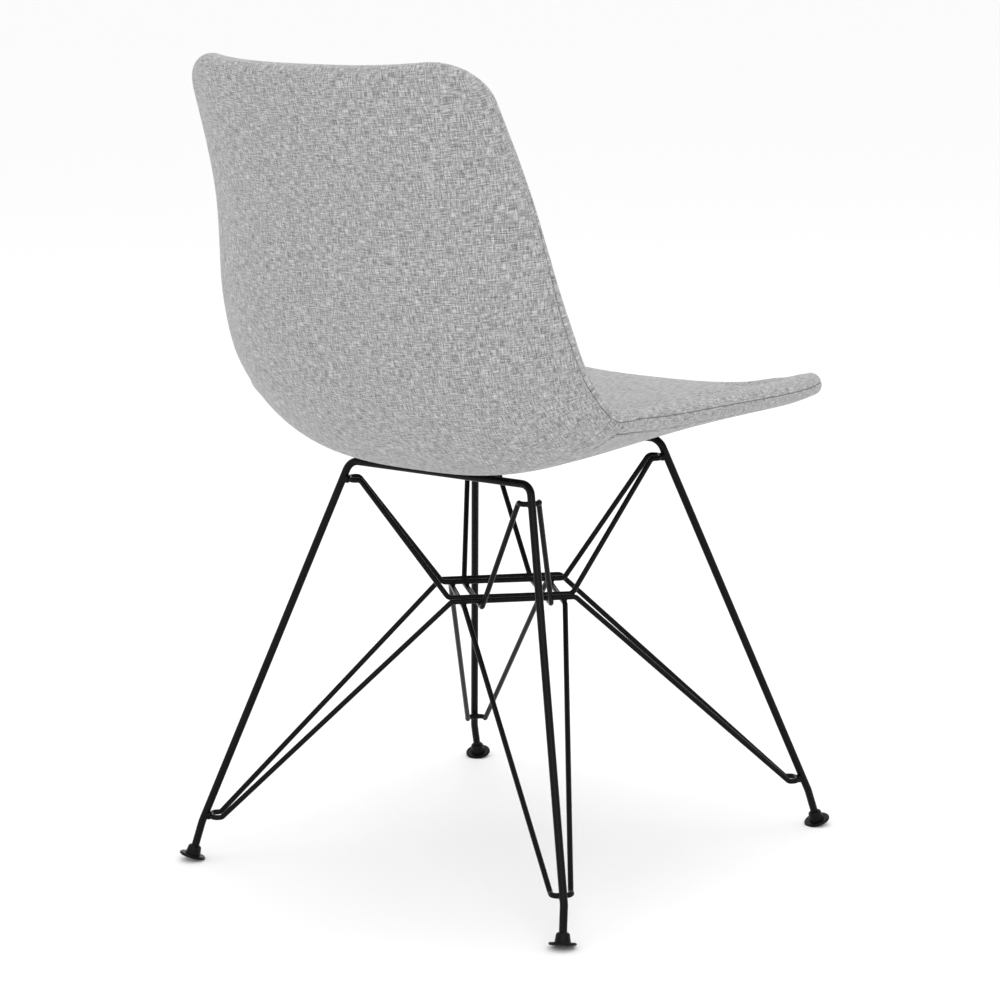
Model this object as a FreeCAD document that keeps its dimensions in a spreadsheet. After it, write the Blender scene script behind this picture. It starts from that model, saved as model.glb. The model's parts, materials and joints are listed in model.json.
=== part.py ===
import FreeCAD, Part
import math
import os
import Sketcher
from FreeCAD import Placement, Rotation, Vector

# Upholstered shell chair on a welded wire base. Millimetres, +Z up, the chair faces -Y.
# The origin is on the floor, under the middle of the chair's overall box.

# ---------------------------------------------------------------- driving dimensions
SIZES = {
    # wire base: two bent leg frames, measured from the base's own centre
    "leg_rod_d": 8.0,
    "bar_height": 425.0,
    "bar_fall": 13.0,
    "bar_width": 235.0,
    "bar_taper": 5.0,
    "bar_depth": 217.0,
    "foot_width": 470.0,
    "foot_taper": 10.0,
    "foot_depth": 480.0,
    "foot_shift": 8.0,
    "bar_bend_radius": 14.0,
    "knee_height": 40.0,
    "knee_turn_deg": 8.0,
    "knee_bend_radius": 30.0,
    "leg_end_height": 8.0,
    # brace loops of thinner rod, one pair on each diagonal
    "brace_rod_d": 5.5,
    "brace_mid_height": 272.0,
    "upper_weld_drop": 19.0,
    "rear_lower_weld_height": 46.0,
    "front_lower_weld_height": 54.0,
    "hairpin_half": 10.0,
    "hairpin_corner_radius": 6.0,
    "hairpin_straight": 4.0,
    "hairpin_bend_radius": 5.5,
    "mid_bend_radius": 7.0,
    "upper_mid_half": 36.0,
    "lower_mid_half": 52.0,
    "over_mid_run": 64.0,
    "under_mid_run": 57.0,
    "weld_gap": 0.05,
    "hairpin_bead_radius": 4.6,
    "crossing_bead_radius": 3.0,
    "tab_bead_radius": 2.0,
    # mounting tabs on the top bars, and what fastens the shell to them
    "tab_half_spacing": 52.0,
    "tab_width": 26.0,
    "tab_length": 32.0,
    "tab_thickness": 3.0,
    "tab_corner_radius": 6.0,
    "screw_inset": 18.0,
    "screw_hole_d": 6.6,
    "screw_shank_d": 5.9,
    "screw_head_d": 11.5,
    "screw_head_height": 3.6,
    "screw_socket_across": 4.0,
    "screw_socket_depth": 2.2,
    "washer_d": 14.0,
    "washer_hole_d": 6.4,
    "washer_thickness": 1.2,
    "pad_d": 24.0,
    "pad_hole_d": 7.0,
    "tnut_flange_d": 18.0,
    "tnut_flange_thickness": 1.2,
    "tnut_barrel_d": 8.0,
    "tnut_barrel_length": 4.8,
    "tnut_bore_d": 6.0,
    "tnut_clearance": 0.2,
    # push-on glides
    "glide_disc_d": 27.5,
    "glide_disc_thickness": 3.0,
    "glide_collar_d": 16.0,
    "glide_collar_top_d": 13.5,
    "glide_height": 12.5,
    "glide_shoulder": 1.5,
    "glide_flat_depth": 1.0,
    # shell layers, from the middle surface of the upholstered shell
    "shell_half_thickness": 11.75,
    "cover_thickness": 1.0,
    "layer_clearance": 0.2,
    "ply_inner_face": 2.0,
    "ply_thickness": 8.0,
    "ply_edge_inset": 5.0,
    "foam_edge_inset": 4.0,
    "liner_edge_inset": 6.2,
    "foam_edge_radius": 9.5,
    "lift_exponent": 2.8,
    "top_corner_radius": 46.0,
    "nose_corner_radius": 50.0,
    "border_width": 20.0,
    "cover_joint_gap": 0.4,
    "back_cover_end": 468.0,
}

# Shell stations along the centre line, top of the back to the front of the seat:
# y from the base centre, z from the floor, half width, and how far the edges curve in.
STATIONS = {
    "top": (300.0, 838.0, 176.0, 40.0),
    "shoulder": (262.0, 700.0, 192.0, 60.0),
    "lumbar": (237.0, 578.0, 212.0, 66.0),
    "waist": (206.0, 500.0, 220.0, 68.0),
    "hip": (150.0, 442.0, 227.0, 68.0),
    "seat_rear": (88.0, 436.0, 232.0, 62.0),
    "seat_middle": (-60.0, 448.0, 240.0, 42.0),
    "seat_front": (-190.0, 452.0, 240.0, 32.0),
    "nose": (-285.0, 450.0, 222.0, 32.0),
}
STATION_FIELDS = ("y", "z", "half", "lift")

# Worked out from the driving dimensions: the rear bar is lower and narrower than the front
# one, and the rear feet stand wider apart and nearer the middle than the front ones.
DERIVED = {
    "rear_bar_height": "=bar_height - bar_fall / 2",
    "front_bar_height": "=bar_height + bar_fall / 2",
    "rear_bar_half": "=(bar_width - bar_taper) / 2",
    "front_bar_half": "=(bar_width + bar_taper) / 2",
    "rear_bar_setback": "=bar_depth / 2",
    "front_bar_setback": "=bar_depth / 2",
    "rear_foot_half": "=(foot_width + foot_taper) / 2",
    "front_foot_half": "=(foot_width - foot_taper) / 2",
    "rear_foot_setback": "=foot_depth / 2 - foot_shift",
    "front_foot_setback": "=foot_depth / 2 + foot_shift",
    "rear_upper_weld_height": "=rear_bar_height - upper_weld_drop",
    "front_upper_weld_height": "=front_bar_height - upper_weld_drop",
}

doc = FreeCAD.newDocument("dining_chair")
sheet = doc.addObject("Spreadsheet::Sheet", "Sizes")


def fill_sheet():
    """Write every driving dimension into the sheet, one alias per row."""
    entries = dict(SIZES)
    for station, values in STATIONS.items():
        for field, value in zip(STATION_FIELDS, values):
            entries[f"{station}_{field}"] = value
    entries.update(DERIVED)
    for row, (name, value) in enumerate(entries.items(), start=1):
        sheet.set(f"A{row}", name)
        sheet.set(f"B{row}", str(value))
        sheet.setAlias(f"B{row}", name)
    doc.recompute()


fill_sheet()


def size(name):
    """The sheet's value of one driving dimension."""
    return float(sheet.get(name))


leg_radius = size("leg_rod_d") / 2
brace_radius = size("brace_rod_d") / 2
nodes = {}


def keep(node, label):
    """Register a finished sub-part under its node name."""
    node.Label = label
    nodes[label] = node
    return node


def bind(target, **expressions):
    """Bind properties of an object to expressions over the sheet."""
    for name, expression in expressions.items():
        target.setExpression(name, expression)


def origin_plane(body, role):
    return next(item for item in body.Origin.OriginFeatures if item.Role == role)


def new_sketch(body, name, role):
    sketch = body.newObject("Sketcher::SketchObject", name)
    sketch.AttachmentSupport = (origin_plane(body, role), [""])
    sketch.MapMode = "FlatFace"
    return sketch


def feature(name, shape):
    """A plain feature for a shape that no parametric tool makes."""
    item = doc.addObject("Part::Feature", name)
    item.Shape = shape
    return item


def compound(name, links):
    item = doc.addObject("Part::Compound", name)
    item.Links = links
    return item


def cut(name, base, tool):
    item = doc.addObject("Part::Cut", name)
    item.Base = base
    item.Tool = tool
    return item


def cylinder(name, radius, height, base, axis=Vector(0, 0, 1)):
    """A cylinder whose radius and height are expressions over the sheet."""
    item = doc.addObject("Part::Cylinder", name)
    bind(item, Radius=radius, Height=height)
    item.Placement = Placement(base, Rotation(Vector(0, 0, 1), axis))
    return item


# ---------------------------------------------------------------- shell surface
def hermite(points, place):
    """Smooth curve through rows of numbers; the first number in a row is the place."""
    last = len(points) - 1

    def slope(index, field):
        before = points[max(index - 1, 0)]
        after = points[min(index + 1, last)]
        return (after[field] - before[field]) / (after[0] - before[0])

    start = 0
    while start < last - 1 and place > points[start + 1][0]:
        start += 1
    low, high = points[start], points[start + 1]
    span = high[0] - low[0]
    ratio = (place - low[0]) / span
    result = []
    for field in range(1, len(low)):
        blend_low = (1 + 2 * ratio) * (1 - ratio) ** 2
        blend_high = ratio ** 2 * (3 - 2 * ratio)
        value = blend_low * low[field] + blend_high * high[field]
        value += ratio * (1 - ratio) ** 2 * span * slope(start, field)
        value += ratio ** 2 * (ratio - 1) * span * slope(start + 1, field)
        result.append(value)
    return result


def station_rows():
    """Rows of (distance along the centre line, y, z, half width, edge lift)."""
    rows = []
    along = 0.0
    for station in STATIONS:
        y, z, half, lift = (size(f"{station}_{field}") for field in STATION_FIELDS)
        if rows:
            along += math.hypot(y - rows[-1][1], z - rows[-1][2])
        rows.append((along, y, z, half, lift))
    return rows


station_table = station_rows()
shell_length = station_table[-1][0]
shell_half = size("shell_half_thickness")
lift_exponent = size("lift_exponent")


def centre_frame(along):
    """Centre-line point, inner normal, half width and lift at a distance from the top."""
    y, z, half, lift = hermite(station_table, along)
    step = 4.0
    low = hermite(station_table, max(along - step, 0.0))
    high = hermite(station_table, min(along + step, shell_length))
    tangent = Vector(0, high[0] - low[0], high[1] - low[1]).normalize()
    return Vector(0, y, z), Vector(0, tangent.z, -tangent.y), half, lift


def middle_point(along, across):
    point, normal, half, lift = centre_frame(along)
    rise = lift * abs(across / half) ** lift_exponent
    return point + normal * rise + Vector(across, 0, 0)


def middle_normal(along, across):
    """Unit normal of the middle surface, towards the sitter."""
    step = 3.0
    low = max(along - step, 0.0)
    high = min(along + step, shell_length)
    down = middle_point(high, across) - middle_point(low, across)
    side = middle_point(along, across + step) - middle_point(along, across - step)
    return side.cross(down).normalize() * -1


def edge_stretch(along):
    """How much longer the surface is than its width across, at the side edge."""
    half, lift = hermite(station_table, along)[2:]
    return math.hypot(1.0, lift * lift_exponent / half)


def corner_radius(along):
    return size("top_corner_radius") if along < shell_length / 2 else size("nose_corner_radius")


def half_width(along, inset):
    """Half width of the outline, rounded at its corners, moved in by an inset."""
    half = hermite(station_table, along)[2] - inset / edge_stretch(along)
    radius = corner_radius(along) - inset
    to_end = min(along, shell_length - along) - inset
    if to_end >= radius:
        return half
    return half - radius + math.sqrt(max(radius ** 2 - (radius - to_end) ** 2, 0.0))


def edge_distance(along, across, inset):
    """Distance of a point from the outline, along the surface."""
    stretch = edge_stretch(along)
    half = hermite(station_table, along)[2] - inset / stretch
    radius = corner_radius(along) - inset
    to_end = min(along, shell_length - along) - inset
    to_side = half - abs(across)
    if to_end < radius and to_side < radius:
        return max(radius - math.hypot(radius - to_end, radius - to_side), 0.0)
    return min(to_end, to_side * stretch)


def rolled(distance, radius):
    """Height of a rounded edge at a distance in from it, as a share of the radius."""
    inward = min(max(distance / radius, 0.0), 1.0)
    return math.sqrt(1 - (1 - inward) ** 2)


def spread(start, end, round_start, round_end, round_spans, middle_spans):
    """Places for a row of poles: even in the middle, along an arc at each rounded end."""
    total = middle_spans + 2 * round_spans
    middle_length = end - start - round_start - round_end
    places = []
    for mark in pole_marks(total):
        if mark < round_spans:
            turn = math.pi / 2 * mark / round_spans
            places.append(start + round_start * (1 - math.cos(turn)))
        elif mark > total - round_spans:
            turn = math.pi / 2 * (total - mark) / round_spans
            places.append(end - round_end * (1 - math.cos(turn)))
        else:
            share = (mark - round_spans) / middle_spans
            places.append(start + round_start + middle_length * share)
    return places


def pole_marks(spans):
    """Parameters that the poles of a clamped cubic spline belong to."""
    return [0.0, 1 / 3] + [float(mark) for mark in range(1, spans)] + [spans - 1 / 3, float(spans)]


def row_places(inset):
    """Distances along the centre line for the rows of a patch."""
    top = size("top_corner_radius") - inset
    nose = size("nose_corner_radius") - inset
    round_spans = 6
    middle_spans = 34
    return spread(inset, shell_length - inset, top, nose, round_spans, middle_spans)


def column_places(along, inset):
    """Places across a patch, its outermost ones on the rounded rim."""
    half = half_width(along, inset)
    rim = (shell_half - inset) / edge_stretch(along)
    round_spans = 3
    middle_spans = 12
    return spread(-half, half, rim, rim, round_spans, middle_spans)


def full_patch(inset, offset):
    """B-spline face over the whole middle surface, moved along its normal by an offset."""
    grid = []
    for along in row_places(inset):
        line = []
        for across in column_places(along, inset):
            distance = edge_distance(along, across, inset)
            shift = middle_normal(along, across) * offset(distance)
            line.append(middle_point(along, across) + shift)
        grid.append(line)
    degree = 3
    surface = Part.BSplineSurface()
    counts = (len(grid), len(grid[0]))
    knots = [[float(index) for index in range(count - degree + 1)] for count in counts]
    multiplicities = [[degree + 1] + [1] * (len(item) - 2) + [degree + 1] for item in knots]
    surface.buildFromPolesMultsKnots(grid, *multiplicities, *knots, False, False, degree, degree)
    return surface


def border_curves(surface):
    """The four edges of a face, always in the same order."""
    first_u, last_u, first_v, last_v = surface.bounds()
    curves = [surface.uIso(first_u), surface.uIso(last_u)]
    curves += [surface.vIso(first_v), surface.vIso(last_v)]
    return [curve.toShape() for curve in curves]


def layer(inner, outer):
    """Closed solid between two patches that have the same rows and columns."""
    faces = [inner.toShape(), outer.toShape()]
    for edge, other in zip(border_curves(inner), border_curves(outer)):
        faces.append(Part.makeRuledSurface(edge, other))
    shell = Part.makeShell(faces)
    shell.sewShape()
    solid = Part.makeSolid(shell)
    if solid.Volume < 0:
        solid.reverse()
    return solid


def shell_sheet(side, inset):
    """Patch with a rounded rim on the sitter's side (+1) or the outer side (-1)."""
    radius = shell_half - inset
    return full_patch(inset, lambda distance: side * radius * rolled(distance, radius))


def flat_layer(inset, low, high):
    return layer(full_patch(inset, lambda distance: high), full_patch(inset, lambda distance: low))


def pad_layer(inset, base, crown):
    """Foam pad: one even face against the plywood, the other rounded down at its edge."""
    rise = crown - base
    step = 0.3 * math.copysign(1, rise)
    radius = size("foam_edge_radius")

    def crowned(distance):
        return base + step + (rise - step) * rolled(distance, radius)

    return layer(full_patch(inset, crowned), full_patch(inset, lambda distance: base))


cover = size("cover_thickness")
clearance = size("layer_clearance")
ply_inner = size("ply_inner_face")
ply_outer = ply_inner - size("ply_thickness")
foam_crown = shell_half - cover - clearance


inner_face = layer(shell_sheet(1, 0.0), shell_sheet(1, cover))
outer_face = layer(shell_sheet(-1, 0.0), shell_sheet(-1, cover))

# The chair's box runs from the nose to the top of the back, so the shell places the origin.
shell_box = inner_face.BoundBox.united(outer_face.BoundBox)
centre_shift = -(shell_box.YMin + shell_box.YMax) / 2


def at(x, y, z):
    """A point given from the base centre, moved to the chair's own origin."""
    return Vector(x, y + centre_shift, z)


def shell_feature(name, solid):
    item = feature(name, solid)
    item.Placement = Placement(at(0, 0, 0), Rotation())
    return item


def surface_height(x, y, offset):
    """Height of an offset of the seat's middle surface, above a point of the plan."""
    low, high = station_table[3][0], shell_length
    for _ in range(50):
        along = (low + high) / 2
        point = middle_point(along, x) + middle_normal(along, x) * offset
        if point.y > y:
            low = along
        else:
            high = along
    return point.z


# ---------------------------------------------------------------- wire base
def bent_wire(corners, bends):
    """Straight runs between corners, joined by tangent arcs of the given radii."""
    edges = []
    last = corners[0]
    for index, radius in enumerate(bends, start=1):
        corner = corners[index]
        back = (corners[index - 1] - corner).normalize()
        ahead = (corners[index + 1] - corner).normalize()
        half_angle = back.getAngle(ahead) / 2
        reach = radius / math.tan(half_angle)
        middle = (back + ahead).normalize()
        centre = corner + middle * (radius / math.sin(half_angle))
        start = corner + back * reach
        end = corner + ahead * reach
        if (start - last).Length > 0.001:
            edges.append(Part.LineSegment(last, start).toShape())
        edges.append(Part.Arc(start, centre - middle * radius, end).toShape())
        last = end
    edges.append(Part.LineSegment(last, corners[-1]).toShape())
    return Part.Wire(edges)


def rod(name, label, corners, bends, radius):
    """Round rod swept along a bent path."""
    path = feature(name + "Path", bent_wire(corners, bends))
    section = doc.addObject("Part::Circle", name + "Section")
    bind(section, Radius=radius)
    section.Placement = Placement(corners[0], Rotation(Vector(0, 0, 1), corners[1] - corners[0]))
    sweep = doc.addObject("Part::Sweep", name)
    sweep.Sections = [section]
    sweep.Spine = (path, [f"Edge{index + 1}" for index in range(len(path.Shape.Edges))])
    sweep.Solid = True
    return keep(sweep, label)


def leg_corners(end, side):
    """Bar corner, knee and floor point of one leg's axis."""
    way = 1 if end == "rear" else -1
    bar = at(side * size(f"{end}_bar_half"), way * size(f"{end}_bar_setback"), size(f"{end}_bar_height"))
    foot = at(side * size(f"{end}_foot_half"), way * size(f"{end}_foot_setback"), 0)
    slope = Vector(0, foot.y - bar.y, foot.z - bar.z)
    below = slope.Length * size("knee_height") / bar.z
    above = slope.Length - below
    turn = math.radians(size("knee_turn_deg"))
    lean = math.atan(abs(foot.x - bar.x) / slope.Length)
    for _ in range(10):
        knee_half = abs(foot.x) - below * math.tan(lean - turn)
        lean = math.atan((knee_half - abs(bar.x)) / above)
    knee = Vector(side * knee_half, bar.y, bar.z) + slope * (above / slope.Length)
    return bar, knee, foot


legs = {(end, side): leg_corners(end, side) for end in ("rear", "front") for side in (-1, 1)}


def leg_axis(end, side):
    """Unit direction of the lower leg, upwards."""
    knee, foot = legs[end, side][1:]
    return (knee - foot).normalize()


def leg_end(end, side):
    axis = leg_axis(end, side)
    return legs[end, side][2] + axis * (size("leg_end_height") / axis.z)


def leg_point(end, side, height):
    """Point of a leg's axis at a height between the bar and the knee."""
    bar, knee = legs[end, side][:2]
    return bar + (knee - bar) * ((bar.z - height) / (bar.z - knee.z))


def leg_frame(end):
    corners = [leg_end(end, -1), legs[end, -1][1], legs[end, -1][0]]
    corners += [legs[end, 1][0], legs[end, 1][1], leg_end(end, 1)]
    knee_bend, bar_bend = size("knee_bend_radius"), size("bar_bend_radius")
    bends = [knee_bend, bar_bend, bar_bend, knee_bend]
    name = f"{end.capitalize()}LegFrame"
    return rod(name, f"{end}_leg_frame", corners, bends, "Sizes.leg_rod_d / 2")


frames = {end: leg_frame(end) for end in ("rear", "front")}


def diagonal(rear_side, tier):
    """Where a loop meets its rear and front leg, and its two horizontal directions."""
    rear = leg_point("rear", rear_side, size(f"rear_{tier}_weld_height"))
    front = leg_point("front", -rear_side, size(f"front_{tier}_weld_height"))
    ahead = Vector(front.x - rear.x, front.y - rear.y, 0).normalize()
    return rear, front, ahead, Vector(-ahead.y, ahead.x, 0)


def leg_reach(end, side, ahead, across):
    """Distance from the leg's axis to the wire that lies against it."""
    bar, knee = legs[end, side][:2]
    normal = (knee - bar).cross(across).normalize()
    return (leg_radius + brace_radius + size("weld_gap")) / abs(normal.dot(ahead))


def loop_centre(level):
    """Middle of a loop, where the lines between opposite legs cross at that height."""
    height = size("brace_mid_height")
    rear = leg_point("rear", 1, height)
    front = leg_point("front", -1, height)
    share = rear.x / (rear.x - front.x)
    rise = size("brace_rod_d") + size("weld_gap") if level == "over" else 0.0
    return Vector(0, rear.y + (front.y - rear.y) * share, height + rise)


def brace_loop(name, rear_side, tier, level):
    """Closed wire loop: a hairpin against each leg and a level run in the middle."""
    rear, front, ahead, across = diagonal(rear_side, tier)
    centre = loop_centre(level)
    half = size(f"{tier}_mid_half")
    run = size(f"{level}_mid_run")
    turn = size("hairpin_half")
    corner = size("hairpin_corner_radius")
    straight = corner + size("hairpin_straight")
    rear_tip = rear + ahead * leg_reach("rear", rear_side, ahead, across)
    front_tip = front - ahead * leg_reach("front", -rear_side, ahead, across)
    one_side = []
    for side in (1, -1):
        one_side.append([
            front_tip + across * turn * side,
            front_tip - ahead * straight + across * turn * side,
            centre + ahead * run + across * half * side,
            centre - ahead * run + across * half * side,
            rear_tip + ahead * straight + across * turn * side,
            rear_tip + across * turn * side,
        ])
    near, far = one_side
    start = centre + across * half
    corners = [start, near[2], near[1], near[0], *far, near[5], near[4], near[3], start]
    arm, middle = size("hairpin_bend_radius"), size("mid_bend_radius")
    bends = [middle, arm, corner, corner, arm, middle] * 2
    label = f"{tier}_{level}_brace_loop"
    return rod(name, label, corners, bends, "Sizes.brace_rod_d / 2")


SIDE_OF_LEVEL = {"over": 1, "under": -1}
loops = [
    brace_loop("UpperOverLoop", SIDE_OF_LEVEL["over"], "upper", "over"),
    brace_loop("LowerOverLoop", SIDE_OF_LEVEL["over"], "lower", "over"),
    brace_loop("UpperUnderLoop", SIDE_OF_LEVEL["under"], "upper", "under"),
    brace_loop("LowerUnderLoop", SIDE_OF_LEVEL["under"], "lower", "under"),
]


# ---------------------------------------------------------------- weld beads
def sphere(name, radius, centre):
    item = doc.addObject("Part::Sphere", name)
    bind(item, Radius=radius)
    item.Placement = Placement(centre, Rotation())
    return item


def hairpin_beads():
    """A bead where each hairpin lies against its leg."""
    beads = []
    for level, rear_side in SIDE_OF_LEVEL.items():
        for tier in ("upper", "lower"):
            rear, front, ahead, across = diagonal(rear_side, tier)
            name = f"{tier.capitalize()}{level.capitalize()}Bead"
            share = leg_radius / (leg_radius + brace_radius)
            rear_gap = leg_reach("rear", rear_side, ahead, across) * share
            front_gap = leg_reach("front", -rear_side, ahead, across) * share
            radius = "Sizes.hairpin_bead_radius"
            beads.append(sphere(name + "Rear", radius, rear + ahead * rear_gap))
            beads.append(sphere(name + "Front", radius, front - ahead * front_gap))
    return beads


def crossing(over_tier, over_side, under_tier, under_side):
    """Contact point of two crossing wires of the middle runs."""
    lines = []
    for tier, level, side in ((over_tier, "over", over_side), (under_tier, "under", under_side)):
        ahead, across = diagonal(SIDE_OF_LEVEL[level], tier)[2:]
        point = loop_centre(level) + across * size(f"{tier}_mid_half") * side
        lines.append((point, ahead))
    (first, way), (second, other) = lines
    gap = second - first
    travel = (gap.x * other.y - gap.y * other.x) / (way.x * other.y - way.y * other.x)
    contact = first + way * travel
    contact.z = (first.z + second.z) / 2
    return contact


def crossing_beads():
    beads = []
    for over_tier in ("upper", "lower"):
        for under_tier in ("upper", "lower"):
            for over_side in (-1, 1):
                for under_side in (-1, 1):
                    centre = crossing(over_tier, over_side, under_tier, under_side)
                    name = f"CrossingBead{len(beads) + 1}"
                    beads.append(sphere(name, "Sizes.crossing_bead_radius", centre))
    return beads


base_rods = compound("BaseRods", [*frames.values(), *loops])
brace_rods = compound("BraceRods", loops)
keep(cut("HairpinWelds", compound("HairpinBeads", hairpin_beads()), base_rods), "hairpin_weld_beads")
keep(cut("CrossingWelds", compound("CrossingBeads", crossing_beads()), brace_rods), "crossing_weld_beads")


# ---------------------------------------------------------------- mounting tabs
def tab_blank(name):
    """Plate with a screw hole and two rounded corners, its straight end on the bar's axis."""
    body = doc.addObject("PartDesign::Body", name)
    sketch = new_sketch(body, name + "Outline", "XY_Plane")
    half = size("tab_width") / 2
    length = size("tab_length")
    radius = size("tab_corner_radius")
    inset = size("screw_inset")
    low = -length + radius
    up = Vector(0, 0, 1)
    quarter = math.pi / 2
    right_arc = Part.Circle(Vector(half - radius, low, 0), up, radius)
    left_arc = Part.Circle(Vector(radius - half, low, 0), up, radius)
    hole = Part.Circle(Vector(0, -inset, 0), up, size("screw_hole_d") / 2)
    sketch.addGeometry([
        Part.LineSegment(Vector(-half, 0, 0), Vector(half, 0, 0)),
        Part.LineSegment(Vector(half, 0, 0), Vector(half, low, 0)),
        Part.ArcOfCircle(right_arc, -quarter, 0),
        Part.LineSegment(Vector(half - radius, -length, 0), Vector(radius - half, -length, 0)),
        Part.ArcOfCircle(left_arc, 2 * quarter, 3 * quarter),
        Part.LineSegment(Vector(-half, low, 0), Vector(-half, 0, 0)),
        hole,
    ], False)
    rules = [
        Sketcher.Constraint("Coincident", 0, 2, 1, 1),
        Sketcher.Constraint("Coincident", 5, 2, 0, 1),
        Sketcher.Constraint("Tangent", 1, 2, 2, 2),
        Sketcher.Constraint("Tangent", 2, 1, 3, 1),
        Sketcher.Constraint("Tangent", 3, 2, 4, 2),
        Sketcher.Constraint("Tangent", 4, 1, 5, 1),
        Sketcher.Constraint("Symmetric", 0, 1, 0, 2, -1, 1),
        Sketcher.Constraint("Horizontal", 0),
        Sketcher.Constraint("Horizontal", 3),
        Sketcher.Constraint("Vertical", 1),
        Sketcher.Constraint("Vertical", 5),
        Sketcher.Constraint("Equal", 2, 4),
        Sketcher.Constraint("PointOnObject", 6, 3, -2),
    ]
    sketch.addConstraint(rules)
    sizes = [
        (Sketcher.Constraint("Radius", 2, radius), "Sizes.tab_corner_radius"),
        (Sketcher.Constraint("Radius", 6, size("screw_hole_d") / 2), "Sizes.screw_hole_d / 2"),
        (Sketcher.Constraint("DistanceX", 0, 1, 0, 2, 2 * half), "Sizes.tab_width"),
        (Sketcher.Constraint("DistanceY", 3, 1, 0, 2, length), "Sizes.tab_length"),
        (Sketcher.Constraint("DistanceY", 6, 3, -1, 1, inset), "Sizes.screw_inset"),
    ]
    for rule, expression in sizes:
        index = sketch.addConstraint(rule)
        sketch.setExpression(f"Constraints[{index}]", expression)
    pad = body.newObject("PartDesign::Pad", name + "Plate")
    pad.Profile = sketch
    bind(pad, Length="Sizes.tab_thickness")
    return body


screw_places = {}
tab_beads = []
for end, way in (("rear", 1), ("front", -1)):
    bar_y = way * size(f"{end}_bar_setback")
    bar_z = size(f"{end}_bar_height")
    tab_bottom = bar_z + leg_radius - size("tab_thickness")
    spin = Rotation(Vector(0, 0, 1), 0 if way == 1 else 180)
    blanks = []
    for side, hand in ((-1, "Left"), (1, "Right")):
        x = side * size("tab_half_spacing")
        blank = tab_blank(f"{end.capitalize()}{hand}Tab")
        blank.Placement = Placement(at(x, bar_y, tab_bottom), spin)
        blanks.append(blank)
        screw_places[end, side] = at(x, bar_y - way * size("screw_inset"), tab_bottom)
        bead_length = size("tab_width") - 4
        bead_place = at(x - bead_length / 2, bar_y - way * 4.6, bar_z + 0.6)
        name = f"{end.capitalize()}{hand}TabBead"
        bead = cylinder(name, "Sizes.tab_bead_radius", "Sizes.tab_width - 4", bead_place, Vector(1, 0, 0))
        tab_beads.append(bead)
    plates = compound(f"{end.capitalize()}TabPlates", blanks)
    keep(cut(f"{end.capitalize()}Tabs", plates, frames[end]), f"{end}_mounting_tabs")
both_tabs = [nodes["rear_mounting_tabs"], nodes["front_mounting_tabs"]]
tab_neighbours = compound("TabNeighbours", [*frames.values(), *both_tabs])
keep(cut("TabWelds", compound("TabBeads", tab_beads), tab_neighbours), "tab_weld_beads")


# ---------------------------------------------------------------- shell layers
ply_blank = shell_feature("PlywoodBlank", flat_layer(size("ply_edge_inset"), ply_outer, ply_inner))
foam = shell_feature("InnerFoam", pad_layer(size("foam_edge_inset"), ply_inner, foam_crown))
liner = shell_feature("OuterLinerBlank", pad_layer(size("liner_edge_inset"), ply_outer, -foam_crown))
keep(shell_feature("InnerCover", inner_face), "inner_cover")
keep(foam, "inner_foam")
outer_cover = shell_feature("OuterCoverBlank", outer_face)


def common(name, base, tool):
    item = doc.addObject("Part::Common", name)
    item.Base = base
    item.Tool = tool
    return item


def halfspace_box(name, along, toward_top):
    """Large box whose face crosses the centre line squarely at a distance from the top."""
    point, normal = centre_frame(along)[:2]
    box = doc.addObject("Part::Box", name)
    reach = 700.0
    box.Length = reach
    box.Width = reach
    box.Height = 2 * reach
    turn = Rotation(Vector(0, 0, 1), normal)
    back = turn.multVec(Vector(0, 1, 0))
    corner = at(point.x, point.y, point.z) - Vector(reach / 2, 0, 0) - normal * reach
    if not toward_top:
        corner -= back * reach
    box.Placement = Placement(corner, turn)
    return box


def seam_points(inset):
    """Plan of the seat's outline, moved in by an inset, from the cover joint to the nose."""
    start = size("back_cover_end") - 30
    step = (shell_length - start) / 24
    points = []
    for index in range(25):
        along = start + step * index
        point = middle_point(along, max(half_width(along, 0.0) - inset, 1.0))
        points.append(at(point.x, point.y, 0))
    points.append(points[-1] - Vector(0, 40, 0))
    return points


def seam_prism(name, corners, curved):
    """Upright prism over a plan: some straight edges and one curve."""
    spline = Part.BSplineCurve()
    spline.interpolate(curved)
    edges = [spline.toShape()]
    chain = [curved[-1], *corners, curved[0]]
    edges += [Part.LineSegment(first, second).toShape() for first, second in zip(chain, chain[1:])]
    plan = feature(name + "Plan", Part.Face(Part.Wire(edges)))
    prism = doc.addObject("Part::Extrusion", name)
    prism.Base = plan
    prism.Dir = Vector(0, 0, 1)
    prism.DirMode = "Custom"
    prism.LengthFwd = 700
    prism.Solid = True
    return prism


joint_gap = size("cover_joint_gap")
back_end = size("back_cover_end")
back_zone = halfspace_box("BackZone", back_end, True)
seat_zone = halfspace_box("SeatZone", back_end + joint_gap, False)
keep(common("OuterBackCover", outer_cover, back_zone), "outer_back_cover")
seat_cover = common("OuterSeatCover", outer_cover, seat_zone)

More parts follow.
